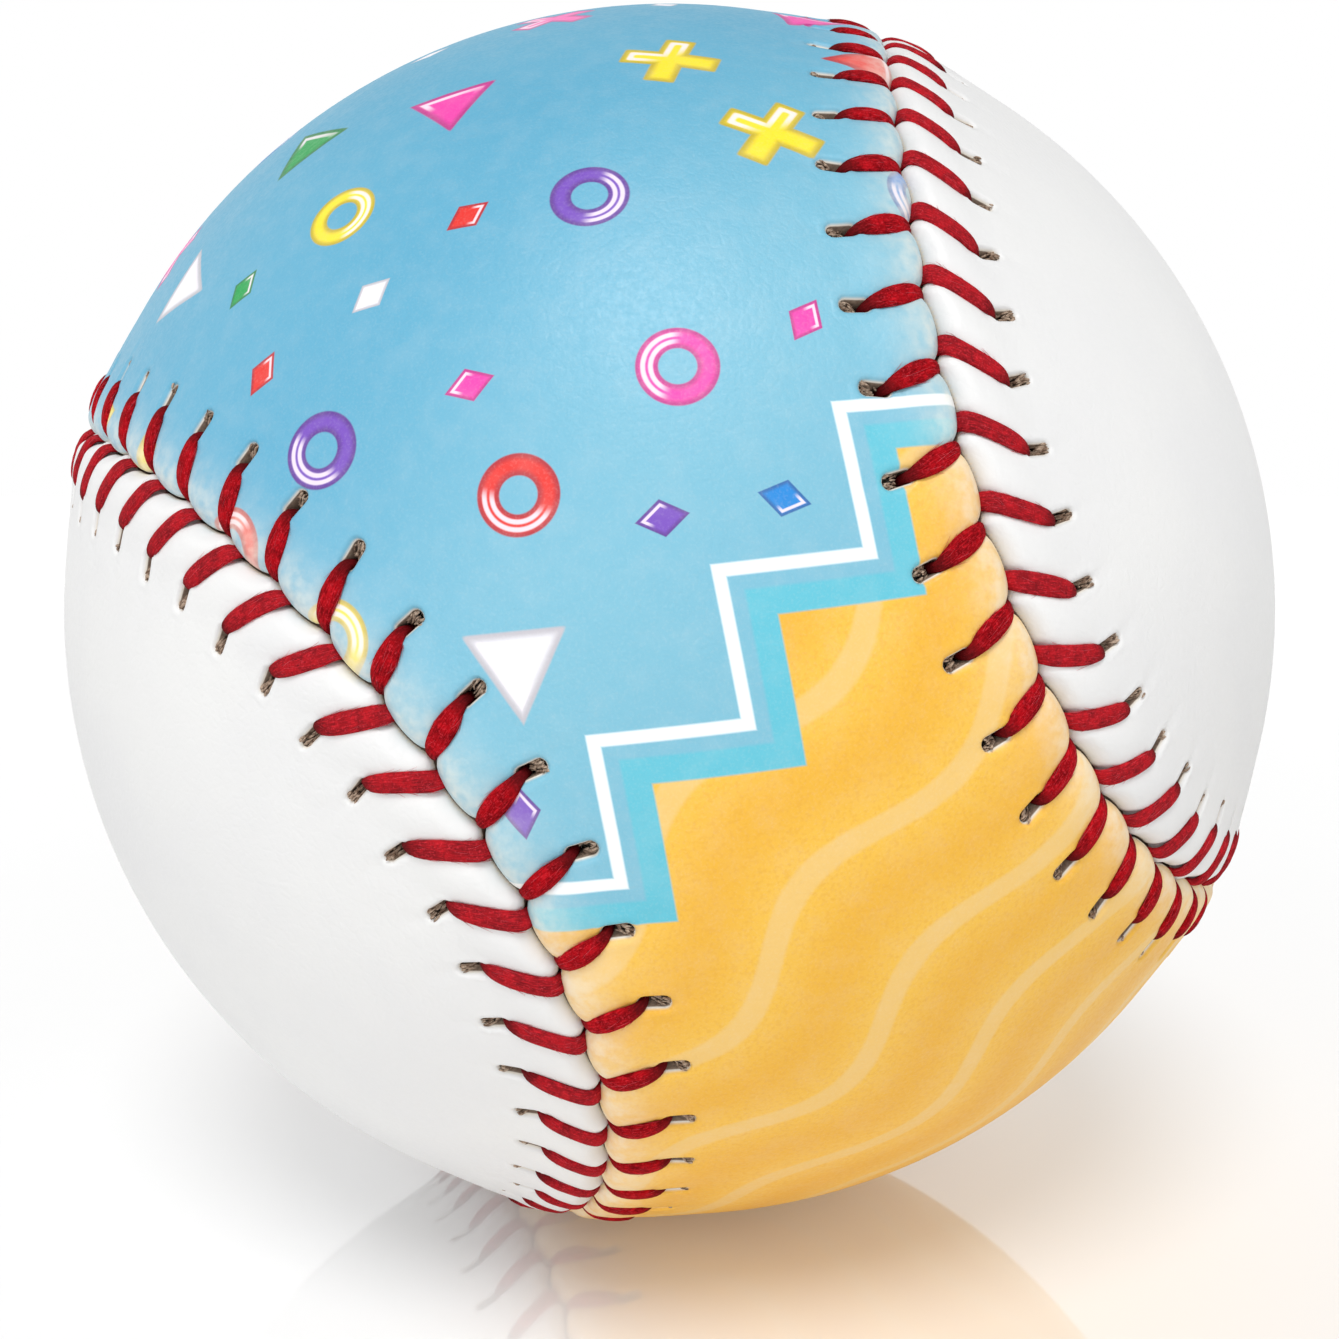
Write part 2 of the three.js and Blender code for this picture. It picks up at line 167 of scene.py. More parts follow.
# The print
BAND_ANGLE = 27.4  # degrees, the lean of the border between the two colours
BAND_MIDDLE = 3.7  # along the panel, where it crosses the middle
ZIGZAG_HEIGHT, ZIGZAG_STEP = 2.5, 9.2
MOTIF_SIZES = np.array([2.7, 1.9, 2.6, 1.2])  # radii of a triangle, ring, cross and lozenge
MOTIF_GAP, MOTIF_MARGIN = 2.6, 2.9  # from a motif to the next, and to the border
MOTIF_DRAWS = 6000
MOTIF_SIDE = 0.9  # least cosine from a motif's middle to its faces
EAST_HELPER = (0.3, 0.2, 0.9)  # where no motif is
NO_MOTIF = 9  # of other faces
LINE_PLACE, LINE_EDGE = 2.15, (0.22, 0.36)  # of the white line over the border
SHADE_EDGE = (1.1, 1.3)  # of the greener blue on it
BLUE_PAINTED_SHADE = (7.0, 29.0)  # painted shade: from the paler blue to the deeper, away from the border, for a broad highlight that falls off toward the ball's top and edges
STRIPE_STEP, STRIPE_EDGE = 7.4, (0.5, 0.8)
RIPPLE_LENGTH, RIPPLE_HEIGHT = 17, 1.5  # of the stripes' waves
INKS = (
    (240, 60, 170),
    (250, 226, 40),
    (24, 160, 78),
    (118, 74, 186),
    (226, 44, 36),
    (244, 244, 250),
    (22, 134, 214),
    (250, 120, 190),
)

# Camera, in ball radii and degrees, and the photo's frame in pixels
CAMERA_DISTANCE, CAMERA_ELEVATION = 3, 5
IMAGE_SIZE, OUTLINE_RADIUS, OUTLINE_ROW = 1339, 605.5, 609
SENSOR = 36

# Light
ZENITH_STRENGTH = 0.12  # of the light from above, where the horizon's is 1
HORIZON_END = 0.35  # sine of the height where that starts to fall off
LAMPS = (  # name, direction, spread in degrees and strength
    ("key", (-0.5, -1, 0.08), 35, 0.58),
    ("top", (-0.05, -0.65, 1), 25, 1.6),
)
FLOOR_HALF = 2.0  # metres
FLOOR_GLOW, FLOOR_MIRROR = 0.07, 0.16

ball_radius = BALL_DIAMETER / 2
zigzag_cosine = math.cos(math.atan(4 * ZIGZAG_HEIGHT / ZIGZAG_STEP))
lean_cosine, lean_sine = math.cos(math.radians(BAND_ANGLE)), math.sin(math.radians(BAND_ANGLE))
draws = np.random.default_rng(7)


def unit(vectors):
    return vectors / np.linalg.norm(vectors, axis=-1, keepdims=True)


def smooth(value, low, high):
    share = np.clip((value - low) / (high - low), 0, 1)
    return share * share * (3 - 2 * share)


# The seam


def seam_points(angle):
    waist = WAIST_WIDTH / BALL_DIAMETER
    major, minor = (1 + waist) / 2, (1 - waist) / 2
    x = major * np.sin(angle) + minor * np.sin(3 * angle)
    y = 2 * math.sqrt(major * minor) * np.cos(2 * angle)
    z = major * np.cos(angle) - minor * np.cos(3 * angle)
    return np.stack([x, y, z], -1)


seam_angles = np.linspace(0, 2 * math.pi, SEAM_SAMPLES + 1)
seam_steps = np.linalg.norm(np.diff(seam_points(seam_angles), axis=0), axis=1) * ball_radius
seam_lengths = np.concatenate([[0], np.cumsum(seam_steps)])
seam_length = seam_lengths[-1]
stitches = 2 * round(seam_length / STITCH_PITCH / 2)
pitch = seam_length / stitches
cover_turn = np.array(
    Matrix.Rotation(math.radians(SEAM_YAW), 3, "Z")
    @ Matrix.Rotation(math.radians(SEAM_TILT), 3, "X")
    @ Matrix.Rotation(math.radians(SEAM_ROLL), 3, "Y")
)


def axes_at(along, across):
    """Unit vectors out, forward and sideways, before the cover is turned."""
    angle = np.interp(np.mod(along, seam_length), seam_lengths, seam_angles)
    middle = unit(seam_points(angle))
    step = math.pi / SEAM_SAMPLES
    forward = unit(seam_points(angle + step) - seam_points(angle - step))
    sideways = unit(np.cross(forward, middle))
    bend = (np.asarray(across) / ball_radius)[..., None]
    out = middle * np.cos(bend) + sideways * np.sin(bend)
    return out, forward, sideways * np.cos(bend) - middle * np.sin(bend)


def turned(points):
    return points @ cover_turn.T


def strand_offset(across, side):
    """How far a strand's middle lies along the seam from its hole."""
    return -FOOT_LEAD[side] * np.clip(1 - across / STRAND_OPEN, 0, 1)


def stitch_share(along, across, side):
    """Where a place lies between two strands, from 0 to 1, and the number of the space between."""
    share = (along - pitch / 2 - strand_offset(across, side)) / pitch
    return share % 1, np.floor(share).astype(int) % stitches


def hole_distance(along, across):
    """From a hole's rim, less than 0 inside it, for places given from the hole's own middle line."""
    half = HOLE_WIDTH / 2
    beyond = np.maximum(np.abs(across - HOLE_MIDDLE) - (HOLE_LENGTH / 2 - half), 0)
    return np.hypot(along, beyond) - half


# The leather

HOLE_START, HOLE_END = HOLE_MIDDLE - HOLE_LENGTH / 2, HOLE_MIDDLE + HOLE_LENGTH / 2
puff_scale = {side: 1 + PUFF_SPREAD * draws.uniform(-1, 1, stitches) for side in (PRINTED, PLAIN)}
hole_turn = {
    side: np.radians(HOLE_TURN) * draws.uniform(-1, 1, stitches) for side in (PRINTED, PLAIN)
}
hole_shift = {side: HOLE_SHIFT * draws.uniform(-1, 1, stitches) for side in (PRINTED, PLAIN)}
waves = [(draws.normal(size=3) * WAVE_TURNS, draws.uniform(0, 2 * math.pi)) for _ in range(WAVES)]


def slow_wave(direction):
    """The leather's slow unevenness at a direction from the ball's middle."""
    total = sum(np.sin(direction @ way + phase) for way, phase in waves)
    return WAVE_HEIGHT * total / WAVES


def edge_line(along, side):
    """From the seam line to the leather's edge. The printed edge bulges between its strands'
    feet, and the plain one follows it."""
    turn = math.pi * (along - pitch / 2 + FOOT_LEAD[PRINTED]) / pitch
    lobe = (np.sin(turn) ** 2 + LOBE_SOFTNESS) ** LOBE_POWER
    own = (along - pitch / 2 + FOOT_LEAD[side]) / pitch
    off_foot = ((own + 0.5) % 1 - 0.5) * pitch
    notch = NOTCH_DEPTH * np.exp(-((off_foot / NOTCH_WIDTH) ** 2))
    return EDGE_GAP - side * LOBE_DEPTH * (lobe - LOBE_MIDDLE) + notch


def leather_height(along, across, side):
    """How far the leather's face stands over the ball's radius, for places beyond its edge."""
    share, number = stitch_share(along, across, side)
    off_strand = ((share + 0.5) % 1 - 0.5) * pitch
    height = SEAM_RISE * (1 - smooth(across, BAND_START, BAND_END))
    puff = np.sin(math.pi * share) ** PUFF_POWER * puff_scale[side][number]
    envelope = smooth(across, *PUFF_START) * (1 - smooth(across, PUFF_END, HOLE_END))
    height += PUFF_HEIGHT * puff * envelope
    near_strand = np.exp(-((off_strand / GROOVE_WIDTH) ** 2))
    height -= GROOVE_DEPTH * near_strand * (1 - smooth(across - HOLE_START, *GROOVE_END))
    crease = smooth(across - HOLE_END, *CREASE_START) * (1 - smooth(across, *CREASE_END))
    height -= CREASE_DEPTH * near_strand * crease
    rim = hole_distance(off_strand, across)
    height -= HOLE_DIP * np.exp(-np.maximum(rim, 0) / DIP_WIDTH)
    height += RIM_HEIGHT * np.exp(-(((rim - RIM_PLACE) / RIM_WIDTH) ** 2))
    roll = 1 - np.clip(across / ROLL_WIDTH, 0, 1)
    return height - ROLL_DEPTH * (1 - np.sqrt(1 - roll**2))


def ring_about_hole(distance):
    """Points on the outline of a hole, or this far outside it."""
    radius = HOLE_WIDTH / 2 + distance
    half = (HOLE_LENGTH - HOLE_WIDTH) / 2
    points = []
    for end, first in ((1, 0), (-1, math.pi)):
        for angle in np.linspace(first, first + math.pi, ARC_POINTS):
            place = HOLE_MIDDLE + end * half + radius * math.sin(angle)
            points.append((radius * math.cos(angle), place))
        for share in (1 / 3, -1 / 3):
            points.append((-end * radius, HOLE_MIDDLE + end * half * share))
    return points


def row_places():
    """The rows of a tile across the strip, and the points along each."""
    across, step = 0.0, FINEST_ROW
    while across < STRIP_WIDTH - step / 2:
        yield across, max(ROW_POINTS, round(pitch / max(step, BAND_ROW)))
        across += step
        step *= ROW_GROWTH
        if across < FINE_END:
            step = min(step, BAND_ROW)
    yield STRIP_WIDTH, ROW_POINTS


class Tile:
    """One stitch's piece of the laced strip, laid flat: points (along, across) from its hole's
    middle line, with its outer facets, its coarser inner facets and its borders."""

    def __init__(self):
        self.points, self.left, self.right = [], [], []
        rows = list(row_places())
        for number, (across, count) in enumerate(rows):
            inset = 0.5 * (number % 2) * (0 < number < len(rows) - 1)
            shares = sorted({0, 1, *((j + inset) / count for j in range(count))})
            row = []
            for share in shares:
                along = pitch * (share - 0.5)
                if hole_distance(along, across) > HOLE_MARGIN:
                    row.append(self.add(along, across))
            self.left.append(row[0])
            self.right.append(row[-1])
            if number == 0:
                self.edge = row
        self.far = row
        self.rim = [self.add(*point) for point in ring_about_hole(HOLE_RINGS[0])]
        rings = [[self.add(*p) for p in ring_about_hole(r)] for r in HOLE_RINGS[1:]]
        self.torn = rings[0]
        self.outer = self.facets(range(len(self.points)), self.left, self.right)
        kept = slice(INNER_START, -1, INNER_STEP)
        left, right = ([line[0], *line[kept], line[-1]] for line in (self.left, self.right))
        self.inner = self.facets([*self.edge, *self.far, *self.rim, *left, *right], left, right)
        self.points = np.array(self.points)

    def add(self, along, across):
        self.points.append((along, across))
        return len(self.points) - 1

    def facets(self, chosen, left, right):
        chosen = sorted(set(chosen))
        at = {point: i for i, point in enumerate(chosen)}
        lines = [self.edge, self.far, left, right, self.rim + self.rim[:1]]
        edges = [(at[a], at[b]) for line in lines for a, b in zip(line, line[1:])]
        flat = [Vector(self.points[i]) for i in chosen]
        made = delaunay_2d_cdt(flat, edges, [], 0, TOLERANCE)
        source = [chosen[origin[0]] for origin in made[3]]
        rim = set(self.rim)
        facets = [[source[i] for i in facet] for facet in made[2]]
        return np.array([facet for facet in facets if not rim.issuperset(facet)])


def joined(tile, chosen, facets):
    """Numbers for the chosen points of every tile round the seam, where each tile's right border
    is the next one's left. Returns the numbers, the facets and the points that each
    tile keeps as its own."""
    right = {b: a for a, b in zip(tile.left, tile.right)}
    kept = [i for i in chosen if i not in right]
    rank = {point: i for i, point in enumerate(kept)}
    numbers = np.full((stitches, len(tile.points)), -1)
    tiles = np.arange(stitches)
    for point in chosen:
        own = right.get(point)
        if own is None:
            numbers[:, point] = tiles * len(kept) + rank[point]
        else:
            numbers[:, point] = (tiles + 1) % stitches * len(kept) + rank[own]
    return numbers, numbers[:, facets].reshape(-1, 3), kept


def strip_places(tile, kept, side):
    """Along, across, height and the edge's wear and painted highlight of the strip's points, with
    each hole turned its own way.
    """
    off, across = (np.tile(tile.points[kept, i], (stitches, 1)) for i in (0, 1))
    hole = (np.arange(stitches)[:, None] + 0.5) * pitch
    rim = np.maximum(hole_distance(off, across), 0)
    turn = hole_turn[side][:, None] * np.exp(-((rim / TURN_REACH) ** 2))
    shift = hole_shift[side][:, None] * np.exp(-((rim / SHIFT_REACH) ** 2))
    height = leather_height(off + hole, across, side)
    beyond = across - HOLE_MIDDLE
    along = off * np.cos(turn) - beyond * np.sin(turn) + hole
    across = HOLE_MIDDLE + off * np.sin(turn) + beyond * np.cos(turn) + shift
    # The paler edge: partly wear of the print, partly a painted highlight on the rolled edge.
    wear_and_highlight = np.exp(-((np.maximum(across, 0) / WEAR_AND_HIGHLIGHT_WIDTH) ** 2))
    across = across + edge_line(along, side) * np.clip(1 - across / EDGE_REACH, 0, 1)
    return along.ravel(), across.ravel(), height.ravel(), wear_and_highlight.ravel()


def field_directions(side):
    """Points spread evenly over a panel's open field."""
    count = round(4 * math.pi * ball_radius**2 / (FIELD_ROW * FIELD_STEP**2))
    number = np.arange(count) + 0.5
    height = 1 - 2 * number / count
    turn = math.pi * (1 + math.sqrt(5)) * number
    level = np.sqrt(1 - height**2)
    points = np.stack([level * np.cos(turn), height, level * np.sin(turn)], -1)
    seam, _, sideways = axes_at(np.arange(0, seam_length, SEAM_STEP), 0.0)
    nearness = points @ seam.T
    nearest = nearness.argmax(1)
    distance = np.arccos(nearness.max(1).clip(-1, 1)) * ball_radius
    on_side = side * (points * sideways[nearest]).sum(1) > 0
    return points[on_side & (distance > STRIP_WIDTH + FIELD_MARGIN)]


def field_facets(border, inside, side):
    """Joins the strip's far border and the field's points, on a flat map of the panel."""
    points = np.concatenate([border, inside])
    flat = points[:, [0, 2]] / (1 - side * points[:, 1:2])
    edges = [(i, (i + 1) % len(border)) for i in range(len(border))]
    made = delaunay_2d_cdt([Vector(p) for p in flat], edges, [], 1, TOLERANCE)
    source = np.array([origin[0] for origin in made[3]])
    return source[np.array(made[2])]


def facing_out(points, facets):
    """Turns facets that all go round the same way, to face away from the middle."""
    a, b, c = (points[facets[:, i]] for i in range(3))
    inward = (np.cross(b - a, c - a) * a).sum() < 0
    return facets[:, ::-1] if inward else facets


def open_edges(facets):
    """Edges that only one facet has, in that facet's own direction."""
    pairs = np.concatenate([facets[:, [0, 1]], facets[:, [1, 2]], facets[:, [2, 0]]])
    known = set(map(tuple, pairs.tolist()))
    return [pair for pair in known if pair[::-1] not in known]


def inner_face(tile, numbers, directions, across, field):
    """The leather's inside, coarser than its face: the points, the facets, and the number of the
    outer point that each point lies under."""
    chosen = sorted(set(tile.inner.ravel().tolist()))
    below, strip, kept = joined(tile, chosen, tile.inner)
    over = np.zeros(stitches * len(kept), int)
    for point in chosen:
        over[below[:, point]] = numbers[:, point]
    over = np.concatenate([over, np.arange(numbers.max() + 1, len(directions))])
    partner = {outer: i for i, outer in enumerate(over.tolist())}
    share = smooth(across[over], INSIDE_START, STRIP_WIDTH)
    points = directions[over] * (SEAM_INSIDE + (COVER_INSIDE - SEAM_INSIDE) * share)[:, None]
    field = np.array([[partner[i] for i in facet] for facet in field.tolist()])
    facets = np.concatenate([facing_out(points, strip), facing_out(points, field)])
    return points, facets[:, ::-1], over


def panel_mesh(name, side, tile):
    """A panel's leather as one closed mesh, and the directions of its points from the middle."""
    numbers, strip, kept = joined(tile, range(len(tile.points)), tile.outer)
    along, across, height, wear_and_highlight = strip_places(tile, kept, side)
    out = axes_at(along, side * across)[0]
    inside = field_directions(side)
    border = numbers[:, tile.far[:-1]].ravel()
    lookup = np.concatenate([border, len(out) + np.arange(len(inside))])
    field = lookup[field_facets(out[border], inside, side)]
    directions = np.concatenate([out, inside])
    height = np.concatenate([height, np.zeros(len(inside))]) + slow_wave(directions)
    outer = directions * (ball_radius + height)[:, None]
    facets = np.concatenate([facing_out(outer, strip), facing_out(outer, field)])

    across = np.concatenate([across, np.full(len(inside), STRIP_WIDTH)])
    inner, inner_facets, over = inner_face(tile, numbers, directions, across, field)
    shift = len(outer)
    under = dict(zip(over.tolist(), range(shift, shift + len(inner))))
    walls = [(b, a, under[a], under[b]) for a, b in sorted(open_edges(facets))]
    faces = facets.tolist() + (inner_facets + shift).tolist() + walls
    mesh = mesh_from(name, turned(np.concatenate([outer, inner])), faces)
    mesh.set_sharp_from_angle(angle=math.radians(SHARP_ANGLE))

    raw = np.zeros(len(outer))
    raw[numbers[:, tile.torn].ravel()] = LIP_RAWNESS
    raw[numbers[:, tile.rim + tile.edge].ravel()] = 1
    directions = np.concatenate([directions, directions[over]])
    put(mesh, "raw", "FLOAT", np.concatenate([raw, np.ones(len(inner))]))
    wear_and_highlight = np.concatenate([wear_and_highlight, np.zeros(len(inside) + len(inner))])
    put(mesh, "wear_and_highlight", "FLOAT", wear_and_highlight)
    put(mesh, "plane", "FLOAT_VECTOR", panel_plane(directions, side))
    return mesh, directions


def mesh_from(name, points, faces):
    mesh = bpy.data.meshes.new(name)
    mesh.from_pydata((np.asarray(points) * MM).tolist(), [], faces)
    mesh.shade_smooth()
    return mesh


def put(mesh, name, kind, values, domain="POINT"):
    attribute = mesh.attributes.new(name, kind, domain)
    key = {"FLOAT": "value", "FLOAT_VECTOR": "vector", "FLOAT_COLOR": "color"}[kind]
    attribute.data.foreach_set(key, np.asarray(values, np.float32).ravel())


def read(items, name):
    values = np.zeros(len(items), int)
    items.foreach_get(name, values)
    return values


def panel_plane(directions, side):
    """Places on a panel as if it were laid flat, in millimetres: across its waist, along its
    length, and nothing."""
    if side == PRINTED:
        x, along, toward = directions[:, 0], directions[:, 2], -directions[:, 1]
    else:
        x, along, toward = directions[:, 2], directions[:, 0], directions[:, 1]
    flat = np.arcsin(x.clip(-1, 1)), np.arctan2(along, toward), np.zeros(len(x))
    return ball_radius * np.stack(flat, -1)


def add_object(data):
    made = bpy.data.objects.new(data.name, data)
    scene.collection.objects.link(made)
    return made


def piece(mesh, material, slot, *nodes):
    """Shows a mesh with this material, in the place of these nodes of the CAD. The slot is not used.
    """
    made = add_object(mesh)
    mesh.materials.append(material)
    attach(made, "root")
    if nodes:
        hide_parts(*nodes)


# The print's scattered motifs


def motif_centres():
    """Directions of the motifs' middles and their kinds, at random but never close together."""
    centres, kinds = np.zeros((0, 3)), np.zeros(0, int)
    for direction in unit(draws.normal(size=(MOTIF_DRAWS, 3))):
        kind = draws.integers(len(MOTIF_SIZES))
        x, y, _ = panel_plane(direction[None], PRINTED)[0]
        y -= BAND_MIDDLE
        saw = abs((x * lean_cosine + y * lean_sine) % ZIGZAG_STEP - ZIGZAG_STEP / 2)
        teeth = ZIGZAG_HEIGHT * (1 - 4 * saw / ZIGZAG_STEP)
        over = (y * lean_cosine - x * lean_sine - teeth) * zigzag_cosine
        apart = np.linalg.norm(centres - direction, axis=1) * ball_radius - MOTIF_SIZES[kinds]
        if min(over - MOTIF_MARGIN, apart.min(initial=99) - MOTIF_GAP) > MOTIF_SIZES[kind]:
            centres = np.vstack([centres, direction])
            kinds = np.append(kinds, kind)
    return centres, kinds


def add_motifs(mesh, directions):
    """Gives each face the motif that is nearest to it: its own flat axes, its kind and its ink."""
    centres, kind = motif_centres()
    turn = draws.uniform(0, 2 * math.pi, len(centres))
    ink = np.array([linear(INKS[i % len(INKS)]) for i in draws.permutation(len(centres))])
    east = unit(np.cross(centres, EAST_HELPER))
    north = np.cross(centres, east)
    right = east * np.cos(turn)[:, None] + north * np.sin(turn)[:, None]
    up = north * np.cos(turn)[:, None] - east * np.sin(turn)[:, None]
    first, total = (read(mesh.polygons, name) for name in ("loop_start", "loop_total"))
    corners = read(mesh.loops, "vertex_index")
    room = MOTIF_SIZES[kind] / ball_radius
    reach = np.linalg.norm(directions[corners[first], None] - centres, axis=2) - room
    owner = np.repeat(reach.argmin(1), total)
    scale = ball_radius / MOTIF_SIZES[kind[owner]]
    place = directions[corners]
    x, y, out = ((place * axis[owner]).sum(1) for axis in (right, up, centres))
    shown = np.where(out > MOTIF_SIDE, kind[owner], NO_MOTIF)
    put(mesh, "motif", "FLOAT_VECTOR", np.stack([x * scale, y * scale, shown], -1), "CORNER")
    put(mesh, "ink", "FLOAT_COLOR", np.hstack([ink, np.ones((len(ink), 1))])[owner], "CORNER")


# The thread


def between(controls, steps):
    """A smooth run through the control rows, with this many steps from one to the next."""
    rows = np.array(controls)
    ends = np.vstack([2 * rows[0] - rows[1], rows, 2 * rows[-1] - rows[-2]])
    made = []
    for a, b, c, d in zip(ends, ends[1:], ends[2:], ends[3:]):
        for step in range(steps):
            t = step / steps
            bend = (2 * a - 5 * b + 4 * c - d) * t + (3 * b - a - 3 * c + d) * t * t
            made.append(b + 0.5 * t * (c - a + bend))
    return np.vstack([made, rows[-1:]])


def thread_stations(first_side):
    """Along, across, radius, width, thickness, side and freedom of each of a thread's stations,
    and the number of its stitch."""
    rows = []
    route = between(STRAND_ROUTE, STEPS_BETWEEN)
    for i in range(stitches):
        number = stitches - 1 - i
        side = -first_side if i % 2 else first_side
        hole = (number + 0.5) * pitch
        size = STRAND_SPREAD * draws.uniform(-1, 1)
        sway = STRAND_SWAY * draws.uniform(-1, 1)
        reach = 1 + hole_shift[side][number] / STRAND_START
        hidden = [HIDDEN_WIDTH, HIDDEN_THICKNESS, side, 0, number]
        rows.append([hole, side * STRAND_START * reach, HIDDEN_RADIUS, *hidden])
        for across, *shapes, thick in route:
            height, width = shapes[:2] if side == PRINTED else shapes[2:]
            free = math.sin(math.pi * min(max(across / STRAND_OPEN, 0), 1))
            along = hole + strand_offset(across, side) + sway * free
            width *= 1 + size * free
            radius = ball_radius + height
            across *= side * reach
            rows.append([along, across, radius, width, thick, side, free, number])
        rows.append([hole - FOOT_LEAD[side], 0, HIDDEN_RADIUS, *hidden])
    return np.array(rows)


def thread_mesh(first_side):
    """A thread's points and faces, where each point lies on the unrolled thread, how much painted
    shade each station has, and the course that the loose fibres follow."""
    along, across, radius, width, thick, side, free, number = thread_stations(first_side).T
    out, forward, _ = axes_at(along, across)
    middle = out * radius[:, None]
    way = unit(np.gradient(middle, axis=0))
    wide = unit(forward - (forward * way).sum(1)[:, None] * way)
    upward = np.cross(way, wide)
    angle = 2 * math.pi * np.arange(STRAND_POINTS) / STRAND_POINTS - math.pi / 2
    x = np.sign(np.cos(angle)) * np.abs(np.cos(angle)) ** SIDE_POWER
    y = np.sign(np.sin(angle)) * np.abs(np.sin(angle)) ** TOP_POWER
    run = np.concatenate([[0], np.cumsum(np.linalg.norm(np.diff(middle, axis=0), axis=1))])
    start = draws.uniform(0, 2 * math.pi, stitches)[number.astype(int)][:, None]
    phase = FILAMENTS * angle[None] + (FILAMENT_TWIST * run[:, None] + start)
    strength = 0.65 + 0.35 * np.sin(3 * angle[None] + 2.1 * start)
    ridge = 1 + FILAMENT_DEPTH * strength * np.sin(phase)
    under = y[None] * side[:, None] > 0
    flat = np.where(under, 1 - UNDERSIDE_LOSS * free[:, None], 1.0)
    across_part = (x[None] * width[:, None] / 2 * ridge)[..., None] * wide[:, None]
    upward_part = (y[None] * thick[:, None] / 2 * ridge * flat)[..., None] * upward[:, None]
    points = (middle[:, None] + across_part + upward_part).reshape(-1, 3)
    pale = np.where(side == PLAIN, PLAIN_PALENESS, 0)
    beside = x[None] * width[:, None] / 2
    lay = np.stack(np.broadcast_arrays(beside, run[:, None], pale[:, None]), -1)
    ring = np.arange(STRAND_POINTS)
    base = np.arange(len(middle) - 1)[:, None] * STRAND_POINTS
    a, b = base + ring, base + np.roll(ring, -1)
    faces = np.stack([a, b, b + STRAND_POINTS, a + STRAND_POINTS], -1).reshape(-1, 4)
    ends = [ring[::-1].tolist(), (ring + base[-1] + STRAND_POINTS).tolist()]
    # Painted shade: darker toward the hole, and at a printed strand's foot under the edge.
    at_foot = (side == PRINTED) * (1 - smooth(np.abs(across), *FOOT_SHADE_WIDTH))
    painted_shade = smooth(np.abs(across), *HOLE_SHADE_WIDTH) + FOOT_SHADE * at_foot
    course = middle, wide, upward * -side[:, None], width, thick, free
    return points, faces.tolist() + ends, lay, painted_shade, course


def hair_tubes(course):
    """Loose fibres that lift off the strands, as thin closed tubes."""
    middle, wide, upward, width, thick, free = course
    starts = draws.choice(np.flatnonzero(free > HAIR_FREEDOM[0]), HAIRS * stitches)
    tubes = []
    for start in starts:
        count = draws.integers(*HAIR_POINTS)
        picked = np.arange(start, start + count)
        if picked[-1] >= len(middle) or free[picked].min() < HAIR_FREEDOM[1]:
            continue
        t = np.linspace(0, 1, count)
        fringe = draws.uniform() < FRINGE_SHARE
        start_angle = draws.choice([0, math.pi]) if fringe else draws.uniform(0.1, 0.9) * math.pi
        angle = start_angle + draws.normal() * HAIR_BEND * t
        lift = 1.01 + draws.uniform(*HAIR_LIFT) * t**2 * (1 if fringe else TOP_HAIR_LIFT)
        side_part = (np.cos(angle) * width[picked] / 2 * lift)[:, None] * wide[picked]
        up_part = (np.sin(angle) * thick[picked] / 2 * lift)[:, None] * upward[picked]
        line = middle[picked] + side_part + up_part
        tubes.append(tube_about(line, HAIR_RADIUS * draws.uniform(*HAIR_SPREAD), 3))
    return together(tubes)


def tube_about(line, radius, sides):
    """A thin closed tube about a line of points, drawn in at both ends."""
    way = unit(np.gradient(line, axis=0))
    beside = unit(np.cross(way, line))
    over = np.cross(way, beside)
    count = len(line)
    size = radius * np.where((np.arange(count) % (count - 1)) == 0, 0.4, 1)
    turn = 2 * math.pi * np.arange(sides) / sides
    offset = np.cos(turn)[:, None] * beside[:, None] + np.sin(turn)[:, None] * over[:, None]
    points = (line[:, None] + size[:, None, None] * offset).reshape(-1, 3)
    faces = [list(reversed(range(sides))), [(count - 1) * sides + j for j in range(sides)]]
    for i in range(count - 1):
        for j in range(sides):
            a, b = i * sides + j, i * sides + (j + 1) % sides
            faces.append([a, b, b + sides, a + sides])
    return points, faces


def together(parts):
    """The points of all these parts in one array, and their faces with the numbers to match."""
    points, faces, base = [], [], 0
    for part_points, part_faces in parts:
        points.append(part_points)
        faces += [[i + base for i in face] for face in part_faces]
        base += len(part_points)
    return np.vstack(points), faces


def thread_piece(name, first_side, node):
    strands, faces, lay, painted_shade, course = thread_mesh(first_side)
    points, faces = together([(strands, faces), hair_tubes(course)])
    mesh = mesh_from(name, turned(points), faces)
    hairs = len(points) - len(strands)
    lay = np.concatenate([lay.reshape(-1, 3), np.tile((0, 0, 1), (hairs, 1))])
    put(mesh, "lay", "FLOAT_VECTOR", lay)
    dark = np.concatenate([np.repeat(painted_shade, STRAND_POINTS), np.zeros(hairs)])
    put(mesh, "painted_shade", "FLOAT", dark)
    piece(mesh, thread_material(), "red_thread", node)


# Torn fibres in the holes


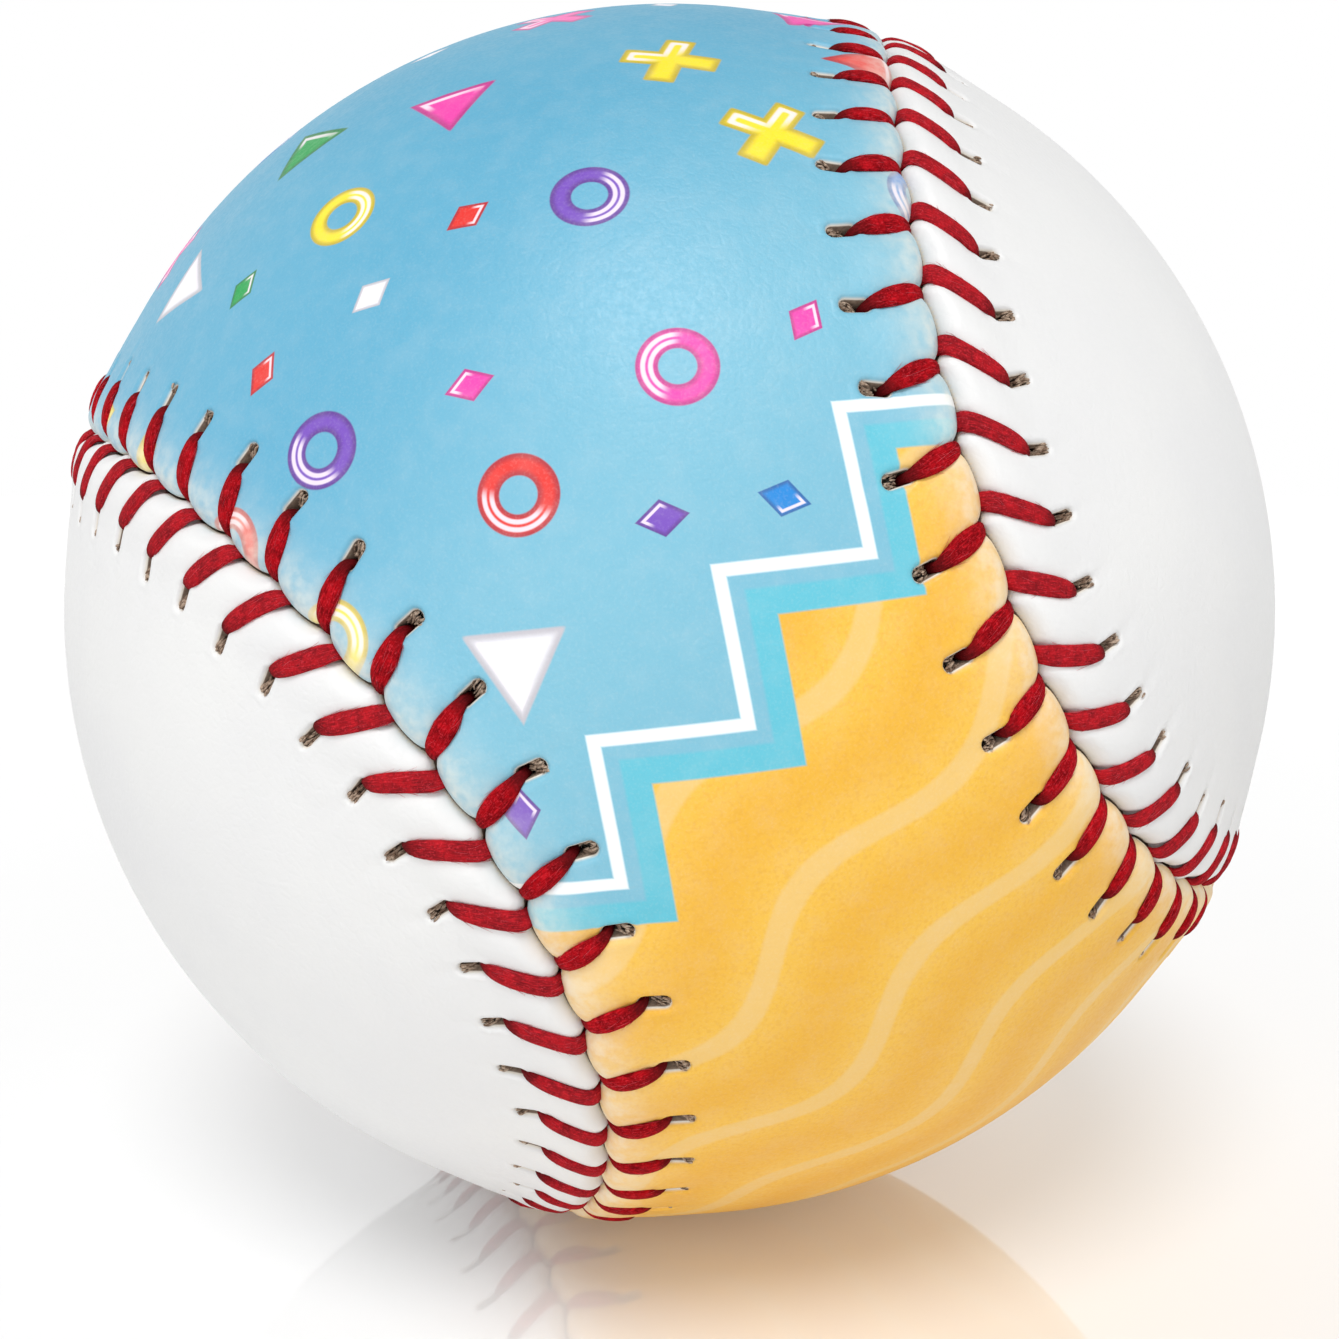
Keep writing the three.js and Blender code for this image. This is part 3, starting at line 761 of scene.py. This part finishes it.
def hole_fibres(name, side):
    tubes = []
    half = HOLE_LENGTH / 2
    t = np.linspace(0, 1, FIBRE_POINTS)
    for number in range(stitches):
        hole = (number + 0.5) * pitch
        turn = hole_turn[side][number]
        for _ in range(FIBRES):
            start = draws.uniform(*FIBRE_START) * half
            end = start + draws.uniform(*FIBRE_LENGTH) * half
            off = draws.uniform(-FIBRE_SPREAD, FIBRE_SPREAD) * HOLE_WIDTH / 2
            off = off + draws.normal() * FIBRE_BEND * t
            beyond = np.clip(start + (end - start) * t, -half, half)
            along = hole + off * math.cos(turn) - beyond * math.sin(turn)
            across = HOLE_MIDDLE + off * math.sin(turn) + beyond * math.cos(turn)
            across = across + hole_shift[side][number]
            far = smooth(beyond / half, *FIBRE_RISE_PLACE)
            depth = draws.uniform(*FIBRE_DEPTH) + draws.uniform(*FIBRE_RISE) * far
            line = axes_at(along, side * across)[0] * (ball_radius + depth)[:, None]
            tubes.append(tube_about(line, draws.uniform(*FIBRE_RADIUS), FIBRE_SIDES))
    points, faces = together(tubes)
    return mesh_from(name, turned(points), faces)


# Materials

TONE_EDGE = (0.3, 0.7)  # the noise's share between two tones
YARN_LEANS = ((0, 0, 0), (0.9, 0.3, 0), (0.2, 1.1, 0.5))  # of the turns' patches, in radians
WAVE_BANDS = 3.2  # that a wave texture of scale 1 has in one unit


def linear(colour):
    """Scene colour of an sRGB colour that is given from 0 to 255."""
    shares = [channel / 255 for channel in colour]
    return [s / 12.92 if s < 0.04045 else ((s + 0.055) / 1.055) ** 2.4 for s in shares]


def add_node(tree, kind, inputs, **settings):
    made = tree.nodes.new("ShaderNode" + kind)
    for key, value in settings.items():
        setattr(made, key, value)
    for key, value in inputs.items():
        if isinstance(value, bpy.types.NodeSocket):
            tree.links.new(value, made.inputs[key])
        else:
            made.inputs[key].default_value = value
    return made


class Surface:
    """A material whose nodes are added one after another."""

    def __init__(self, name, roughness, specular=0.5):
        self.material = bpy.data.materials.new(name)
        self.material.use_nodes = True
        self.tree = self.material.node_tree
        self.shader = self.tree.nodes["Principled BSDF"]
        self.shader.inputs["Roughness"].default_value = roughness
        self.shader.inputs["Specular IOR Level"].default_value = specular

    def node(self, kind, inputs, **settings):
        return add_node(self.tree, kind, inputs, **settings)

    def math(self, operation, a, b=0.0, c=0.0):
        return self.node("Math", {0: a, 1: b, 2: c}, operation=operation).outputs[0]

    def weigh(self, a, a_share, b, b_share):
        """The sum of two values' products with these."""
        return self.math("MULTIPLY_ADD", a, a_share, self.math("MULTIPLY", b, b_share))

    def off(self, value, middle):
        """How far a value is from this one, either way."""
        return self.math("ABSOLUTE", self.math("SUBTRACT", value, middle))

    def mix(self, share, a, b):
        a, b = (v if isinstance(v, bpy.types.NodeSocket) else (*linear(v), 1) for v in (a, b))
        made = self.node("Mix", {0: share, 6: a, 7: b}, data_type="RGBA")
        return made.outputs[2]

    def ramp(self, value, low, high, start=0.0, end=1.0):
        """A smooth change from start to end while the value goes from low to high."""
        inputs = {0: value, 1: low, 2: high, 3: start, 4: end}
        return self.node("MapRange", inputs, interpolation_type="SMOOTHSTEP").outputs[0]

    def attribute(self, name, output="Vector"):
        return self.node("Attribute", {}, attribute_name=name).outputs[output]

    def parts(self, vector):
        return self.node("SeparateXYZ", {0: vector}).outputs

    def place(self):
        return self.node("TexCoord", {}).outputs["Object"]

    def noise(self, size, detail, vector=None):
        """Noise from 0 to 1 whose grain is about this many millimetres, or units of a vector."""
        scale = 1 / (size * MM) if vector is None else 1 / size
        inputs = {"Vector": vector or self.place(), "Scale": scale, "Detail": detail}
        return self.node("TexNoise", inputs).outputs[0]

    def tones(self, size, detail, dark, light):
        """A colour that wanders between two others with noise of this grain."""
        return self.mix(self.ramp(self.noise(size, detail), *TONE_EDGE), dark, light)

    def patches(self, colour, size, detail, edge, most, other):
        """A colour with up to this share of another one where noise of this grain is high."""
        share = self.ramp(self.noise(size, detail), *edge, 0.0, most)
        return self.mix(share, colour, other)

    def bump(self, height, depth):
        """Adds relief of this many millimetres."""
        made = self.node("Bump", {"Height": height, "Distance": depth * MM, "Strength": 1.0})
        before = self.shader.inputs["Normal"]
        if before.is_linked:
            self.tree.links.new(before.links[0].from_socket, made.inputs["Normal"])
        self.tree.links.new(made.outputs[0], before)

    def set(self, socket, value):
        self.tree.links.new(value, self.shader.inputs[socket])


def leather_finish(coat, colour):
    """Grain, pores and the raw brown of the cut leather, over a panel's own colour."""
    grain = coat.noise(0.28, 3.0)
    fine = coat.noise(0.09, 1.0)
    cells = coat.node(
        "TexVoronoi",
        {"Vector": coat.place(), "Scale": 1 / (0.62 * MM), "Randomness": 0.9},
        feature="DISTANCE_TO_EDGE",
    ).outputs[0]
    pebble = coat.ramp(cells, 0.0, 0.22)
    raw = coat.attribute("raw", "Fac")
    suede = coat.mix(coat.noise(0.16, 2.0), (94, 74, 60), (168, 148, 130))
    rim = coat.ramp(raw, 0.05, 0.5)
    pale = coat.mix(rim, colour, (236, 230, 218))
    coat.set("Base Color", coat.mix(coat.ramp(raw, 0.6, 0.95), pale, suede))
    rough = coat.ramp(grain, *TONE_EDGE, 0.4, 0.52)
    coat.set("Roughness", coat.weigh(rough, 1.0, raw, 0.4))
    coat.bump(pebble, 0.005)
    coat.bump(grain, 0.014)
    coat.bump(fine, 0.004)


def plain_leather():
    coat = Surface("plain_leather", 0.45)
    leather_finish(coat, coat.tones(9, 2.0, (227, 227, 227), (230, 230, 229)))
    return coat.material


def zigzag_distance(coat, x, y):
    """How far a place lies over the line where the two fields of colour meet, and along it."""
    y = coat.math("SUBTRACT", y, BAND_MIDDLE)
    along = coat.weigh(x, lean_cosine, y, lean_sine)
    over = coat.weigh(x, -lean_sine, y, lean_cosine)
    saw = coat.math("PINGPONG", along, ZIGZAG_STEP / 2)
    teeth = coat.math("MULTIPLY_ADD", saw, 4 * ZIGZAG_HEIGHT / ZIGZAG_STEP, -ZIGZAG_HEIGHT)
    distance = coat.math("MULTIPLY", coat.math("SUBTRACT", over, teeth), zigzag_cosine)
    return distance, along, over


def motif_outline(coat, x, y, kind):
    """Signed distance from a motif's outline in its own radii, less than 0 inside."""
    wide, high = (coat.math("ABSOLUTE", v) for v in (x, y))
    slope = coat.weigh(wide, 0.866, y, 0.5)
    triangle = coat.math("SMOOTH_MAX", slope, coat.math("MULTIPLY", y, -1), 0.12)
    triangle = coat.math("SUBTRACT", triangle, 0.5)
    length = coat.math("SQRT", coat.weigh(x, x, y, y))
    ring = coat.math("SUBTRACT", coat.off(length, 0.72), 0.26)
    bars = []
    for a, b in ((wide, high), (high, wide)):
        long = coat.math("SUBTRACT", a, 0.95)
        bars.append(coat.math("SMOOTH_MAX", long, coat.math("SUBTRACT", b, 0.3), 0.1))
    cross = coat.math("MINIMUM", *bars)
    lozenge = coat.math("SUBTRACT", coat.weigh(wide, 0.82, high, 0.57), 0.57)
    chosen = triangle
    for number, other in enumerate((ring, cross, lozenge), 1):
        share = coat.math("COMPARE", kind, float(number), 0.1)
        chosen = coat.weigh(other, share, chosen, coat.math("SUBTRACT", 1.0, share))
    return chosen


def printed_leather():
    coat = Surface("printed_leather", 0.42)
    x, y, _ = coat.parts(coat.attribute("plane"))
    over, along, straight = zigzag_distance(coat, x, y)
    # Painted shade: the blue deepens away from the border, as if light fell off toward the ball's
    # top and edges.
    blue = coat.mix(coat.ramp(straight, *BLUE_PAINTED_SHADE), (122, 186, 208), (90, 167, 199))
    blue = coat.patches(blue, 14, 1.0, TONE_EDGE, 0.25, (112, 180, 207))
    px, py, kind = coat.parts(coat.attribute("motif"))
    outline = motif_outline(coat, px, py, kind)
    ink = coat.attribute("ink", "Color")
    shade = coat.mix(coat.ramp(outline, -0.2, -0.02, 0.0, 0.45), ink, (60, 20, 60))
    glint = coat.ramp(coat.off(outline, -0.17), 0.03, 0.08, 0.8, 0.0)
    lit = coat.ramp(coat.math("ADD", px, py), 0.0, 0.5)
    shade = coat.mix(coat.math("MULTIPLY", glint, lit), shade, (255, 240, 250))
    inside = coat.ramp(outline, -0.02, 0.03, 1.0, 0.0)
    known = coat.math("LESS_THAN", kind, NO_MOTIF - 1)
    blue = coat.mix(coat.math("MULTIPLY", inside, known), blue, shade)
    white = coat.ramp(coat.off(over, LINE_PLACE), *LINE_EDGE, 1.0, 0.0)
    blue = coat.mix(white, blue, (240, 248, 252))
    blue = coat.mix(coat.ramp(over, *SHADE_EDGE, 1.0, 0.0), blue, (95, 191, 211))
    ripple = coat.math("SINE", coat.math("MULTIPLY", along, 2 * math.pi / RIPPLE_LENGTH))
    course = coat.math("MULTIPLY_ADD", ripple, RIPPLE_HEIGHT, straight)
    course = coat.math("PINGPONG", course, STRIPE_STEP / 2)
    glow = coat.ramp(course, 0.0, STRIPE_STEP / 2)
    orange = coat.mix(glow, (242, 192, 69), (236, 179, 50))
    orange = coat.patches(orange, 0.2, 2.0, (0.45, 0.7), 0.3, (226, 160, 48))
    stripe = coat.ramp(course, *STRIPE_EDGE, 0.85, 0.0)
    orange = coat.mix(stripe, orange, (238, 198, 118))
    colour = coat.mix(coat.ramp(over, -0.1, 0.05), orange, blue)
    colour = coat.patches(colour, 1.4, 3.0, (0.4, 0.75), 0.05, (235, 232, 226))
    colour = coat.patches(colour, 0.12, 1.0, (0.45, 0.8), 0.06, (235, 232, 226))
    # The paler edge: partly wear of the print, partly a painted highlight on the rolled edge.
    wear_and_highlight = coat.attribute("wear_and_highlight", "Fac")
    streaky = coat.ramp(coat.noise(0.6, 3.0), 0.25, 0.75, 0.3, 0.68)
    colour = coat.mix(coat.math("MULTIPLY", wear_and_highlight, streaky), colour, (240, 234, 220))
    leather_finish(coat, colour)
    return coat.material


def thread_material():
    coat = Surface("red_thread", 0.8, 0.06)
    beside, run, loose = coat.parts(coat.attribute("lay"))
    stretched = coat.node("CombineXYZ", {0: beside, 1: coat.math("MULTIPLY", run, 0.09)})
    streak = coat.noise(0.045, 2.0, stretched.outputs[0])
    colour = coat.tones(0.7, 1.0, (116, 2, 10), (166, 6, 18))
    colour = coat.mix(coat.ramp(streak, 0.4, 0.75, 0.0, 0.8), colour, (208, 28, 40))
    colour = coat.patches(colour, 0.16, 2.0, (0.46, 0.7), 0.5, (88, 0, 6))
    colour = coat.patches(colour, 0.09, 1.0, (0.54, 0.72), 0.4, (220, 58, 70))
    colour = coat.mix(coat.math("MULTIPLY", loose, 0.6), colour, (226, 100, 112))
    # Painted shade: the strand darkens toward its hole and at a printed strand's foot.
    painted_shade = coat.math("MULTIPLY", coat.attribute("painted_shade", "Fac"), 0.8)
    colour = coat.mix(painted_shade, colour, (62, 12, 14))
    coat.set("Base Color", colour)
    coat.bump(streak, 0.05)
    return coat.material


def fibre_material():
    coat = Surface("torn_leather", 0.9, 0.2)
    coat.set("Base Color", coat.tones(0.2, 2.0, (112, 88, 72), (190, 168, 148)))
    coat.bump(coat.noise(0.05, 1.0), 0.02)
    return coat.material


def yarn_material(name, dark, light, step):
    """Yarn wound over a ball in many directions: patches of parallel turns that cross."""
    coat = Surface(name, 0.92, 0.15)
    place = coat.place()
    turns = None
    for number, lean in enumerate(YARN_LEANS):
        tilted = coat.node("Mapping", {"Vector": place, "Rotation": lean}).outputs[0]
        scale = 1 / (step * MM) / WAVE_BANDS
        inputs = {"Vector": tilted, "Scale": scale, "Distortion": 0.6}
        wave = coat.node("TexWave", inputs).outputs["Fac"]
        if turns is None:
            turns = wave
        else:
            patch = coat.ramp(coat.noise(6 + 3 * number, 1.0), 0.48, 0.52)
            mixed = coat.node("Mix", {0: patch, 2: turns, 3: wave})
            turns = mixed.outputs[0]
    fuzz = coat.noise(0.15, 3.0)
    tone = coat.weigh(fuzz, 0.4, turns, 0.6)
    coat.set("Base Color", coat.mix(tone, dark, light))
    coat.bump(turns, 0.4 * step)
    coat.bump(fuzz, 0.05)
    return coat.material


def rubber_material(name, dark, light):
    coat = Surface(name, 0.7, 0.35)
    coat.set("Base Color", coat.tones(1.5, 3.0, dark, light))
    coat.set("Roughness", coat.ramp(coat.noise(0.4, 2.0), *TONE_EDGE, 0.6, 0.82))
    coat.bump(coat.noise(0.12, 2.0), 0.02)
    return coat.material


def cork_material():
    coat = Surface("cork", 0.88, 0.2)
    cells = coat.node("TexVoronoi", {"Vector": coat.place(), "Scale": 1 / (1.4 * MM)})
    tone = coat.parts(cells.outputs["Color"])[0]
    colour = coat.mix(tone, (150, 104, 62), (205, 164, 112))
    coat.set("Base Color", coat.patches(colour, 0.5, 3.0, (0.6, 0.7), 1.0, (84, 52, 30)))
    coat.bump(cells.outputs["Distance"], 0.1)
    return coat.material


def dress_inside():
    """Gives the CAD's own solids their materials."""
    red = rubber_material("red_rubber", (118, 30, 24), (152, 46, 36))
    black = rubber_material("black_rubber", (26, 26, 27), (46, 46, 48))
    grey = yarn_material("grey_yarn", (96, 95, 92), (170, 168, 164), 0.9)
    white = yarn_material("white_yarn", (188, 183, 172), (240, 237, 228), 0.7)
    fine = yarn_material("finishing_yarn", (196, 190, 176), (244, 240, 230), 0.4)
    materials = (
        (cork_material(), "cork_centre"),
        (red, "cushion_washer", "rubber_jacket_upper", "rubber_jacket_lower"),
        (black, "rubber_cup_upper", "rubber_cup_lower"),
        (grey, "first_winding", "third_winding"),
        (white, "second_winding"),
        (fine, "finishing_winding"),
    )
    for material, *nodes in materials:
        for node in nodes:
            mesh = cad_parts[node].data
            mesh.materials.clear()
            mesh.materials.append(material)


# The studio


def make_camera():
    data = bpy.data.cameras.new("camera")
    camera = add_object(data)
    focal = OUTLINE_RADIUS * math.sqrt(CAMERA_DISTANCE**2 - 1)
    data.sensor_width = SENSOR
    data.lens = focal / IMAGE_SIZE * SENSOR
    data.shift_y = (OUTLINE_ROW - IMAGE_SIZE / 2) / IMAGE_SIZE
    data.clip_start, data.clip_end = 0.001, 50
    lift = math.radians(CAMERA_ELEVATION)
    back = Vector((0, -math.cos(lift), math.sin(lift)))
    camera.location = back * CAMERA_DISTANCE * ball_radius * MM
    camera.rotation_euler = (-back).to_track_quat("-Z", "Y").to_euler()
    scene.camera = camera


def make_lamp(name, direction, spread, strength):
    """A broad soft light from this direction, with its spread in degrees."""
    data = bpy.data.lights.new(name, "SUN")
    data.angle = math.radians(spread)
    data.energy = strength
    lamp = add_object(data)
    lamp.rotation_euler = (-Vector(direction)).to_track_quat("-Z", "Y").to_euler()


def make_world():
    world = bpy.data.worlds.new("studio")
    scene.world = world
    world.use_nodes = True
    tree = world.node_tree
    direction = add_node(tree, "TexCoord", {}).outputs["Generated"]
    height = add_node(tree, "SeparateXYZ", {0: direction}).outputs["Z"]
    fade = {0: height, 1: HORIZON_END, 2: 1.0, 3: 1.0, 4: ZENITH_STRENGTH}
    background = tree.nodes["Background"]
    tree.links.new(add_node(tree, "MapRange", fade).outputs[0], background.inputs["Strength"])
    background.inputs["Color"].default_value = (1, 1, 1, 1)
    scene.view_settings.view_transform = "Standard"
    scene.view_settings.look = "None"


def make_floor(height):
    far = FLOOR_HALF
    corners = [(-far, -far, height), (far, -far, height), (far, far, height), (-far, far, height)]
    mesh = bpy.data.meshes.new("floor")
    mesh.from_pydata(corners, [], [(0, 1, 2, 3)])
    coat = Surface("floor", 0.05, 0.6)
    coat.set("Base Color", coat.tones(300, 1.0, (243, 243, 243), (245, 245, 245)))
    coat.shader.inputs["Emission Color"].default_value = (1, 1, 1, 1)
    coat.shader.inputs["Emission Strength"].default_value = FLOOR_GLOW
    coat.shader.inputs["Metallic"].default_value = FLOOR_MIRROR
    mesh.materials.append(coat.material)
    floor = add_object(mesh)
    floor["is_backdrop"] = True


make_camera()
tile = Tile()
printed_mesh, printed_directions = panel_mesh("printed_panel", PRINTED, tile)
add_motifs(printed_mesh, printed_directions)
plain_mesh, _ = panel_mesh("plain_panel", PLAIN, tile)
piece(printed_mesh, printed_leather(), "printed_leather", "cover_panel_printed")
piece(plain_mesh, plain_leather(), "plain_leather", "cover_panel_plain")
thread_piece("lacing_a", PRINTED, "seam_thread_a")
thread_piece("lacing_b", PLAIN, "seam_thread_b")
torn = fibre_material()
piece(hole_fibres("hole_fibres_printed", PRINTED), torn, "printed_leather")
piece(hole_fibres("hole_fibres_plain", PLAIN), torn, "plain_leather")
dress_inside()

visual_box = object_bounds()
make_floor(visual_box[0].z)
make_world()
for lamp in LAMPS:
    make_lamp(*lamp)
boxes = {"cad": cad_box, "visual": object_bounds()}
{name: [list(corner) for corner in box] for name, box in boxes.items()}
